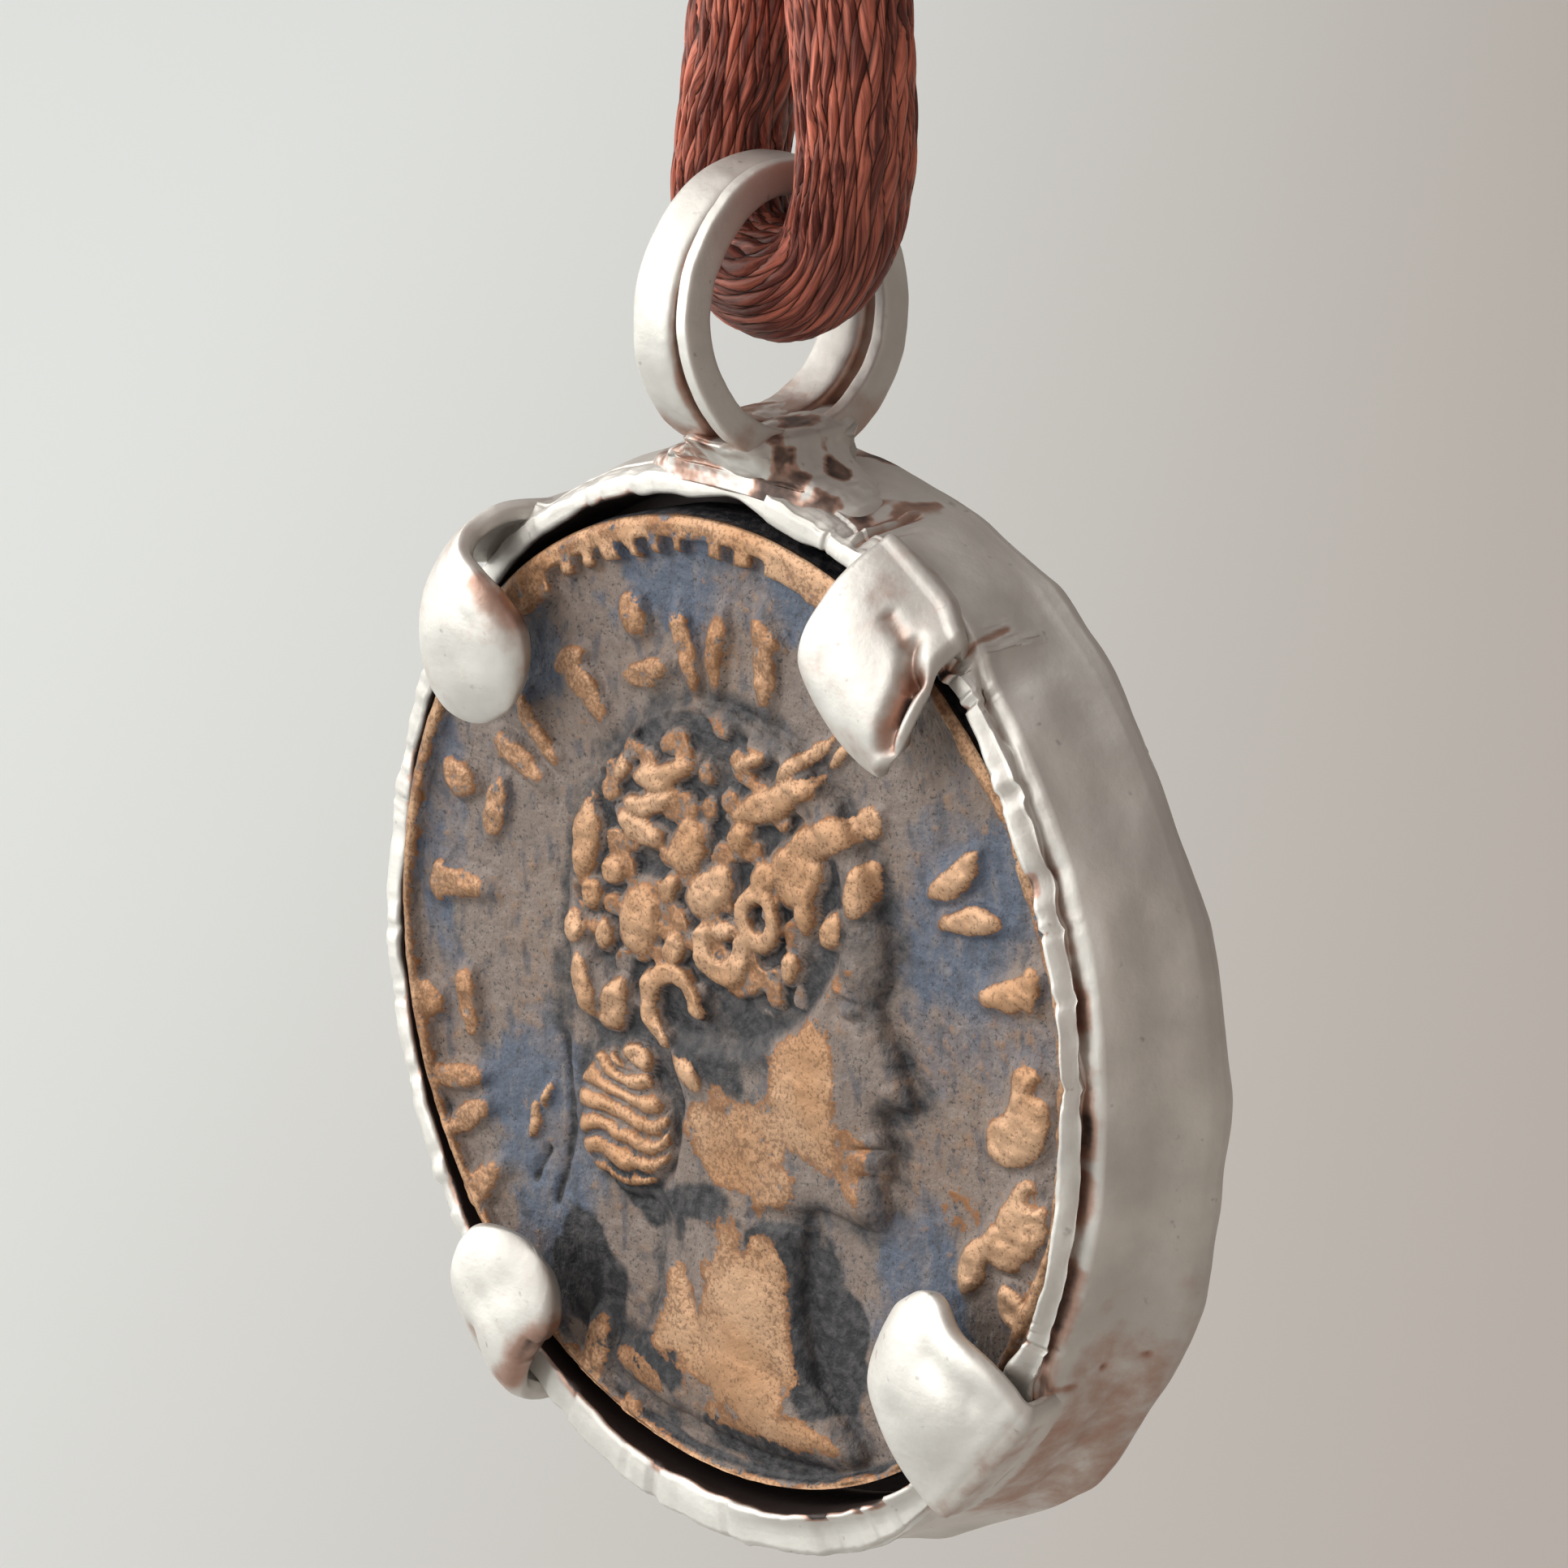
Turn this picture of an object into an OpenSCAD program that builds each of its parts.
// Coin pendant on a cord necklace, in millimetres, +Z up, the coin's face looking along -Y.
// The origin is where the loop lies on the nape, under the clasp.

/* [Coin] */
// Diameter of the coin
coin_d = 27; // [24:0.5:30]
// Thickness of the coin at its raised rim
coin_t = 2.2; // [1.8:0.1:2.8]
// Width of the worn raised rim
coin_rim_w = 0.6; // [0.4:0.1:1]
// Depth of the flat field behind the raised rim
field_drop = 0.4; // [0.2:0.05:0.6]
// Height of the head above the field
head_rise = 0.5; // [0.3:0.05:0.8]
// Height of the hair locks and wreath leaves above the head
lock_rise = 0.2; // [0.1:0.05:0.3]
// Height of the marks round the edge above the field
mark_rise = 0.3; // [0.15:0.05:0.4]
// Length of one mark, measured along the radius
mark_l = 2; // [1.5:0.1:2.4]

/* [Band] */
// Gap between the coin's edge and the band
coin_gap = 0.45; // [0.3:0.05:0.7]
// Thickness of the band's wall at the rim
band_wall = 0.8; // [0.6:0.05:1.1]
// Depth of the band from front to back
band_depth = 4.5; // [3.8:0.1:5.5]
// How much wider the band is at its back than at its rim
band_flare = 0.7; // [0.3:0.05:1]
// Depth of the hollow hammered behind the rim
band_waist = 0.14; // [0:0.02:0.2]
// How far the rim stands in front of the coin's rim, at the middle
rim_proud = 0.13; // [0:0.01:0.3]
// Nod of the band against the coin, in degrees
band_nod = -1.9; // [-2.5:0.1:0]
// Turn of the band against the coin, in degrees
band_turn = -2.1; // [-2.5:0.1:0]
// Width of the ledge behind the coin
ledge_w = 1.3; // [0.8:0.1:2]
// Thickness of the ledge
ledge_t = 0.8; // [0.6:0.1:1.2]
// Play between the coin's back and the ledge
seat_gap = 0.1; // [0.05:0.05:0.2]

/* [Claws] */
// Width of a claw of middling size
claw_w = 5.6; // [5:0.1:6.4]
// Reach of a claw of middling size over the coin from its edge
claw_reach = 3.3; // [2.6:0.1:3.8]
// Thickness of the folded sheet
claw_sheet = 0.65; // [0.5:0.05:0.8]
// Height of a claw's crest in front of the coin
claw_rise = 1.9; // [1.5:0.1:2.4]
// Gap between a claw's tip and the coin
claw_gap = 0.12; // [0.08:0.02:0.2]
// Radius to which a claw's back is rounded across its width
claw_round = 7; // [6:0.5:9]
// How far a claw's root stands out from the band's rim
claw_root_out = 0.35; // [0.2:0.05:0.5]
// How far a claw's root runs back along the band
claw_root_l = 1.6; // [1:0.1:2]

/* [Bail] */
// Inner diameter of the bail's rings
ring_id = 5.84; // [5.4:0.02:6.4]
// Thickness of the rings, measured along the radius
ring_t = 1.12; // [0.9:0.02:1.3]
// Width of the wide ring
wide_ring_w = 1.6; // [1.2:0.1:1.8]
// Width of the narrow ring
narrow_ring_w = 0.5; // [0.4:0.05:0.7]
// Width of the slit between the rings at mid-height
slit_w = 0.15; // [0.1:0.05:0.25]
// Lean of the narrow ring away from the wide one, in degrees
narrow_lean = 7.5; // [4:0.5:8]
// Depth of the bail's middle behind the coin's face
bail_back = 1.75; // [1.4:0.05:2.2]
// Height of the solder between the band and the rings
solder_h = 0.45; // [0.3:0.05:0.6]
// Radius of the solder's foot on the band
solder_r = 2.9; // [2.4:0.1:3.4]
// Height of the solder from the band's middle up between the rings
solder_rise = 1.75; // [1.3:0.05:1.9]

/* [Cord and clasp] */
// Diameter of the cord
cord_d = 3.4; // [3:0.1:3.6]
// Distance from the cord's middle in the bail down to the rings' centre
cord_above_ring = 0.7; // [0.5:0.05:0.8]
// Length of the clasp
clasp_l = 16; // [12:1:20]
// Diameter of the clasp
clasp_d = 5.6; // [4.6:0.2:7]
// Width of the chamfers on the clasp's ends
clasp_chamfer = 0.5; // [0.2:0.1:0.8]

/* [Hidden] */
$fn = 96;

// Cord route on the right of the bail: across, back and up from the cord's middle in the bail,
// and the half thickness across and front to back as shares of the cord's radius.
// The last point is moved to the clasp's end.
ROUTE = [
    [0, 0, 0, 1, 1.08], [1.2, 0.1, 0.3, 0.93, 1.1], [2, 0.3, 1.1, 0.76, 1.12],
    [2.35, 0.5, 2.4, 0.63, 1.14], [2.35, 0.7, 4, 0.72, 1.1], [2.1, 0.8, 6, 0.9, 1.03],
    [1.8, 0.9, 8.5, 1, 1], [2.2, 0.9, 13, 1, 1], [4.5, 0.8, 20, 1, 1], [11, 0.6, 32, 1, 1],
    [24, 0.4, 50, 1, 1], [40, 0.2, 69, 1, 1], [53, 0, 89, 1, 1], [59.5, 0, 108, 1, 1],
    [58, 0, 126, 1, 1], [47, 0, 139, 1, 1], [28, 0, 145, 1, 1], [8, 0, 146, 1, 1]
];
// Pieces of curve between two route points, for each stretch from the bail to the clasp
ROUTE_STEPS = [1, 1, 1, 1, 1, 1, 1, 1, 2, 2, 3, 3, 3, 2, 3, 3, 3];
CORD_SIDES = 8;

// Claws: angle on the coin from its right side, and shares of claw_w and claw_reach
CLAWS = [[59, 1.07, 1.03], [139, 0.96, 0.97], [231.5, 0.93, 0.88], [317.5, 1.04, 1.09]];
// Lengthwise section of a claw, its back and its underside: place as a share of the way from
// its tip out to its root, and height as a share of its greatest height
CLAW_BACK = [
    [1, 0.16], [0.93, 0.63], [0.79, 0.93], [0.62, 1], [0.44, 0.86], [0.16, 0.47], [-0.02, 0.2]
];
CLAW_UNDERSIDE = [[0.1, 0], [0.22, 0.3], [0.45, 0.78], [0.62, 1], [0.76, 0.85], [0.86, 0.2]];

// Outline of the head and bust, in shares of the coin's radius, across and up, from the crown
// over the face, the neck, the shoulders and the hair
HEAD = [
    [0, 0.62], [0.2, 0.58], [0.34, 0.49], [0.43, 0.37], [0.47, 0.24], [0.47, 0.15], [0.45, 0.11],
    [0.49, 0.03], [0.55, -0.07], [0.54, -0.1], [0.48, -0.11], [0.47, -0.14], [0.5, -0.18],
    [0.48, -0.21], [0.49, -0.24], [0.46, -0.27], [0.48, -0.32], [0.45, -0.37], [0.37, -0.38],
    [0.27, -0.38], [0.23, -0.46], [0.23, -0.6], [0.27, -0.74], [0.41, -0.85], [0.33, -0.91],
    [0.05, -0.93], [-0.22, -0.9], [-0.36, -0.84], [-0.25, -0.74], [-0.2, -0.62], [-0.21, -0.48],
    [-0.32, -0.48], [-0.42, -0.41], [-0.45, -0.28], [-0.41, -0.17], [-0.46, -0.08],
    [-0.49, 0.06], [-0.47, 0.24], [-0.39, 0.41], [-0.26, 0.54], [-0.13, 0.6]
];
// Swells on the head: centre across and up, half length, half width, angle of the length, and
// height as a share of lock_rise, for the cheek, brow, eye, ear, jaw and the band of the neck
SWELLS = [
    [0.32, -0.1, 0.16, 0.13, 70, 0.7], [0.41, 0.15, 0.08, 0.035, 160, 0.6],
    [0.39, 0.08, 0.05, 0.03, 5, 0.7], [0.06, 0.02, 0.08, 0.05, 80, 1],
    [0.3, -0.3, 0.16, 0.08, 200, 0.5], [0.02, -0.62, 0.24, 0.14, 100, 0.7]
];
// Wreath leaves and bars, in the same shares
LEAVES = [
    [0.2, 0.47, 0.2, 0.05, 33, 1], [0.24, 0.37, 0.2, 0.045, 30, 1], [0.35, 0.31, 0.14, 0.04, 33, 1],
    [-0.12, 0.44, 0.16, 0.045, 25, 0.9], [-0.16, 0.34, 0.13, 0.04, 15, 0.9],
    [-0.04, 0.32, 0.12, 0.05, 45, 1], [-0.4, 0.22, 0.15, 0.05, 82, 1]
];
// Hair locks lie in rows round the crown: radius of the row, first angle, last angle and count
LOCK_ROWS = [[0.13, 150, 330, 3], [0.26, 140, 300, 5], [0.4, 150, 235, 4], [0.54, 200, 232, 3]];
CROWN = [0.06, 0.2];
// Half length and half width of a lock
LOCK = [0.09, 0.052];
// Marks round the edge: angle and kind, 0 for a bar, 1 for an oval and 2 for a pair of bars
MARKS = [
    [214, 0], [205, 2], [195, 0], [186, 1], [177, 0], [167, 2], [127, 2], [117, 1],
    [106, 0], [97, 2], [87, 1], [78, 0], [28, 0], [14, 2], [0, 1], [343, 1], [334, 0]
];
// Middle of the ring of marks as a share of the coin's radius
MARK_RING = 0.82;
// How steep the marks' sides are, and the spread of the two bars of a pair in degrees
MARK_STEEPNESS = 1.8;
MARK_SPREAD = 12;

coin_r = coin_d / 2;
// Half width of a mark's stroke
stroke = mark_l * 0.17;
// Width over which the edges of the head are rounded, and that over which the rim slopes
head_edge = coin_r * 0.08;
rim_slope = coin_rim_w * 0.67;
band_ir = coin_r + coin_gap;
band_or = band_ir + band_wall;
ring_or = ring_id / 2 + ring_t;
ring_centre_h = band_or + solder_h + ring_or;
nape_rise = clasp_d / 2;
last_point = ROUTE[len(ROUTE) - 1];
drop = last_point[2] - nape_rise;
// From the hinge in the bail to the coin's centre
coin_below_hinge = cord_above_ring + ring_centre_h;

// Smooth step from 0 to 1
function ease(t) = let (k = min(1, max(0, t))) k * k * (3 - 2 * k);
// Height of a dome [across, up, half length, half width, angle, share] over a point
function dome(p, d) =
    let (
        u = p - [d[0], d[1]], c = cos(d[4]), s = sin(d[4]),
        q = pow((u[0] * c + u[1] * s) / d[2], 2) + pow((u[1] * c - u[0] * s) / d[3], 2)
    )
    d[5] * sqrt(max(0, 1 - q));
function tallest(p, domes) = max([for (d = domes) dome(p, d)]);

LOCKS = [
    for (row = LOCK_ROWS, i = [0:row[3] - 1])
        let (a = row[1] + (row[2] - row[1]) * (i + 0.5) / row[3])
        [CROWN[0] + row[0] * cos(a), CROWN[1] + row[0] * sin(a), LOCK[0], LOCK[1], a + 60, 1]
];
// Strokes of the marks as domes in millimetres
STROKES = [
    for (m = MARKS)
        let (r = MARK_RING * coin_r, c = [r * cos(m[0]), r * sin(m[0])], t = [-sin(m[0]), cos(m[0])])
        for (side = m[1] == 2 ? [-1, 1] : [0])
            [
                c[0] + side * mark_l / 4 * t[0], c[1] + side * mark_l / 4 * t[1], mark_l / 2,
                m[1] == 1 ? mark_l / 3 : stroke, m[0] + side * MARK_SPREAD, 1
            ]
];

function edge_distance(p, a, b) =
    let (along = b - a, t = min(1, max(0, (p - a) * along / (along * along))))
    norm(p - a - along * t);
function crosses(p, a, b) =
    (a[1] > p[1]) != (b[1] > p[1]) && p[0] < a[0] + (b[0] - a[0]) * (p[1] - a[1]) / (b[1] - a[1]);
// How far a point lies inside an outline, and 0 outside it
function depth_inside(p, outline) =
    let (
        n = len(outline),
        hits = [for (i = [0:n - 1]) if (crosses(p, outline[i], outline[(i + 1) % n])) 1]
    )
    len(hits) % 2 == 0 ? 0
    : min([for (i = [0:n - 1]) edge_distance(p, outline[i], outline[(i + 1) % n])]);
// Quarter round from 0 to 1
function round_over(t) = sqrt(1 - pow(1 - min(1, t), 2));

// Height of the coin's face above its field
function relief(p) =
    let (
        q = p / coin_r,
        rim = field_drop * ease((norm(p) - coin_r + coin_rim_w) / rim_slope + 1),
        inside = depth_inside(q, HEAD) * coin_r,
        head = head_rise * round_over(inside / head_edge),
        hair = max(tallest(q, LEAVES), tallest(q, LOCKS), tallest(q, SWELLS)),
        marks = mark_rise * min(1, MARK_STEEPNESS * tallest(p, STROKES))
    )
    max(rim, head + lock_rise * hair * ease(inside), marks);

// Square rings of points on the coin's face from the middle out, as many as fit the relief
FACE_RINGS = 32;
// Point of the face for a place on a square grid, whose square rings become round ones
function face_point(i, j) =
    let (
        k = max(abs(i), abs(j)),
        a = k == 0 ? 0
            : i == k ? 45 * j / k
            : j == k ? 90 - 45 * i / k
            : i == -k ? 180 - 45 * j / k
            : 270 + 45 * i / k
    )
    coin_r * k / FACE_RINGS * [cos(a), sin(a)];

// Coin with its relief, its rim at y = 0 and its centre at the origin
module coin_body() {
    k = FACE_RINGS;
    n = 2 * k + 1;
    grid = [
        for (j = [-k:k], i = [-k:k])
            let (p = face_point(i, j))
            [p[0], field_drop - relief(p), p[1]]
    ];
    // Places of the grid's border points in order round the coin
    border = [
        for (i = [0:n - 2]) i,
        for (j = [0:n - 2]) j * n + n - 1,
        for (i = [n - 1:-1:1]) (n - 1) * n + i,
        for (j = [n - 1:-1:1]) j * n
    ];
    m = len(border);
    back = [for (b = border) [grid[b][0], coin_t, grid[b][2]]];
    front_faces = [
        for (j = [0:n - 2], i = [0:n - 2])
            let (c = j * n + i)
            each (i < k) == (j < k)
                ? [[c, c + 1 + n, c + 1], [c, c + n, c + n + 1]]
                : [[c, c + n, c + 1], [c + 1, c + n, c + n + 1]]
    ];
    side_faces = [
        for (i = [0:m - 1])
            let (next = (i + 1) % m)
            each [
                [border[i], border[next], n * n + next],
                [border[i], n * n + next, n * n + i]
            ]
    ];
    back_face = [for (i = [0:m - 1]) n * n + i];
    polyhedron(concat(grid, back), concat(front_faces, side_faces, [back_face]), convexity = 6);
}

// Hammered band: a flared wall whose rim faces the front, tilted a little against the coin
module band() {
    waist_y = band_wall * 0.9;
    lip = band_wall * 0.06;
    back_edge = band_flare * 0.2;
    rotate([band_nod, 0, band_turn])
        translate([0, -rim_proud, 0])
            rotate([90, 0, 0])
                rotate_extrude()
                    polygon([
                        [band_ir, 0], [band_or, 0], [band_or + lip, -3 * lip],
                        [band_or - band_waist, -waist_y], [band_or + band_flare / 2, -band_depth / 2],
                        [band_or + band_flare, -band_depth * 0.85],
                        [band_or + band_flare - back_edge, -band_depth],
                        [band_ir + 2 * lip, -band_depth]
                    ]);
}

// Ledge behind the coin
module ledge() {
    translate([0, coin_t + seat_gap + ledge_t, 0])
        rotate([90, 0, 0])
            difference() {
                cylinder(r = band_ir + band_wall / 2, h = ledge_t);
                translate([0, 0, -ledge_t])
                    cylinder(r = coin_r - ledge_w, h = 3 * ledge_t);
            }
}

// Outline of a claw laid flat, its root at x = outer and its round tip at x = tip
module claw_outline(w, tip, outer) {
    translate([tip + w / 2, 0])
        circle(d = w);
    polygon([
        [tip + w / 2, -w / 2], [outer, -w * 0.46], [outer, w * 0.46], [tip + w / 2, w / 2]
    ]);
}

// Claw bent over the rim towards the coin's middle, on the side x > 0. Its lengthwise section
// runs round an axis behind the coin, which also rounds its back across the width.
module claw(w, reach) {
    tip = coin_r - reach;
    outer = band_or + claw_root_out;
    axis_y = claw_round - claw_rise;
    inner_rise = claw_rise - claw_sheet - claw_gap;
    section = concat(
        [[outer, -claw_root_l]],
        [for (p = CLAW_BACK) [tip + p[0] * (outer - tip), p[1] * claw_rise]],
        [[tip, claw_gap]],
        [for (p = CLAW_UNDERSIDE) [tip + p[0] * (outer - tip), claw_gap + p[1] * inner_rise]],
        [[outer - claw_sheet, -claw_root_l]]
    );
    intersection() {
        translate([0, axis_y, 0])
            rotate([0, 90, 0])
                rotate_extrude()
                    polygon([for (p = section) [axis_y + p[1], p[0]]]);
        translate([0, claw_root_l, 0])
            rotate([90, 0, 0])
                linear_extrude(claw_root_l + 2 * claw_rise)
                    claw_outline(w, tip, outer + claw_sheet * 0.15);
    }
}

// One ring of the bail round the X axis, with its outer edges eased
module bail_ring(w) {
    edge = w * 0.25;
    rotate([0, 90, 0])
        rotate_extrude()
            polygon([
                [ring_id / 2, edge - w / 2], [ring_id / 2 + edge, -w / 2],
                [ring_or - edge, -w / 2], [ring_or, edge - w / 2], [ring_or, w / 2 - edge],
                [ring_or - edge, w / 2], [ring_id / 2 + edge, w / 2], [ring_id / 2, w / 2 - edge]
            ]);
}

// Double ring and the solder under it, with the rings' centre at the origin
module bail() {
    width = wide_ring_w + slit_w + narrow_ring_w;
    translate([(wide_ring_w - width) / 2, 0, 0])
        bail_ring(wide_ring_w);
    translate([(width - narrow_ring_w) / 2, 0, 0])
        rotate([0, -narrow_lean, 0])
            bail_ring(narrow_ring_w);
    // Where the rings meet at the top
    translate([0, 0, ring_id / 2 + ring_t * 0.35])
        cube([width * 0.6, ring_t * 1.4, ring_t * 0.5], center = true);
    translate([(wide_ring_w - narrow_ring_w) / 10, 0, -ring_or - solder_h - band_wall * 0.6])
        rotate_extrude()
            polygon([
                [0, 0], [solder_r, 0], [solder_r * 0.86, band_wall * 0.6],
                [solder_r * 0.62, solder_rise * 0.66], [solder_r * 0.5, solder_rise * 0.97],
                [0, solder_rise]
            ]);
}

module setting() {
    color("gainsboro")
        translate([0, -bail_back, -drop - coin_below_hinge]) {
            band();
            ledge();
            for (c = CLAWS)
                rotate([0, -c[0], 0])
                    claw(claw_w * c[1], claw_reach * c[2]);
            translate([0, bail_back, ring_centre_h])
                bail();
        }
}

module coin() {
    color("peru")
        translate([0, -bail_back, -drop - coin_below_hinge])
            coin_body();
}

// Point on a smooth curve through four points, between the two in the middle
function between(a, b, c, d, t) =
    (2 * b + (c - a) * t + (2 * a - 5 * b + 4 * c - d) * t * t + (3 * b - a - 3 * c + d) * t * t * t)
    / 2;
// Route from the clasp's end on the left, through the bail, to its end on the right
function mirrored(p) = [-p[0], p[1], p[2], p[3], p[4]];
END = [clasp_l / 2, 0, last_point[2], 1, 1];
RIGHT = [for (i = [0:len(ROUTE) - 1]) i < len(ROUTE) - 1 ? ROUTE[i] : END];
KNOTS = concat([for (i = [len(RIGHT) - 1:-1:1]) mirrored(RIGHT[i])], RIGHT);
STEPS = concat([for (i = [len(ROUTE_STEPS) - 1:-1:0]) ROUTE_STEPS[i]], ROUTE_STEPS);
// One knot past each end, level with it, so that the cord leaves the clasp along X
BEYOND = [END[0] - clasp_l * 1.25, 0, last_point[2], 1, 1];
PADDED = concat([mirrored(BEYOND)], KNOTS, [BEYOND]);
CURVE = concat(
    [
        for (k = [0:len(STEPS) - 1], i = [0:STEPS[k] - 1])
            between(PADDED[k], PADDED[k + 1], PADDED[k + 2], PADDED[k + 3], i / STEPS[k])
    ],
    [KNOTS[len(KNOTS) - 1]]
);

module neck_cord() {
    r = cord_d / 2;
    last = len(CURVE) - 1;
    n = CORD_SIDES;
    points = [
        for (k = [0:last])
            let (
                here = CURVE[k],
                ahead = CURVE[min(last, k + 1)] - CURVE[max(0, k - 1)],
                along = k == 0 || k == last ? [-1, 0, 0] : [ahead[0], ahead[1], ahead[2]],
                t = along / norm(along),
                across = cross([0, 1, 0], t) / norm(cross([0, 1, 0], t)),
                back = cross(t, across)
            )
            for (i = [0:n - 1])
                [here[0], here[1], here[2]]
                + across * (r * here[3] * cos(360 * i / n))
                + back * (r * here[4] * sin(360 * i / n))
    ];
    faces = concat(
        [[for (i = [n - 1:-1:0]) i]],
        [[for (i = [0:n - 1]) last * n + i]],
        [
            for (k = [0:last - 1], i = [0:n - 1])
                let (j = (i + 1) % n)
                each [
                    [k * n + i, k * n + j, (k + 1) * n + j],
                    [k * n + i, (k + 1) * n + j, (k + 1) * n + i]
                ]
        ]
    );
    color("sienna")
        translate([0, 0, -drop])
            polyhedron(points, faces, convexity = 8);
}

module clasp() {
    c = clasp_chamfer;
    color("silver")
        translate([0, 0, nape_rise])
            rotate([0, 90, 0])
                translate([0, 0, -clasp_l / 2])
                    rotate_extrude()
                        polygon([
                            [0, 0], [clasp_d / 2 - c, 0], [clasp_d / 2, c],
                            [clasp_d / 2, clasp_l - c], [clasp_d / 2 - c, clasp_l], [0, clasp_l]
                        ]);
}

setting();
coin();
neck_cord();
clasp();
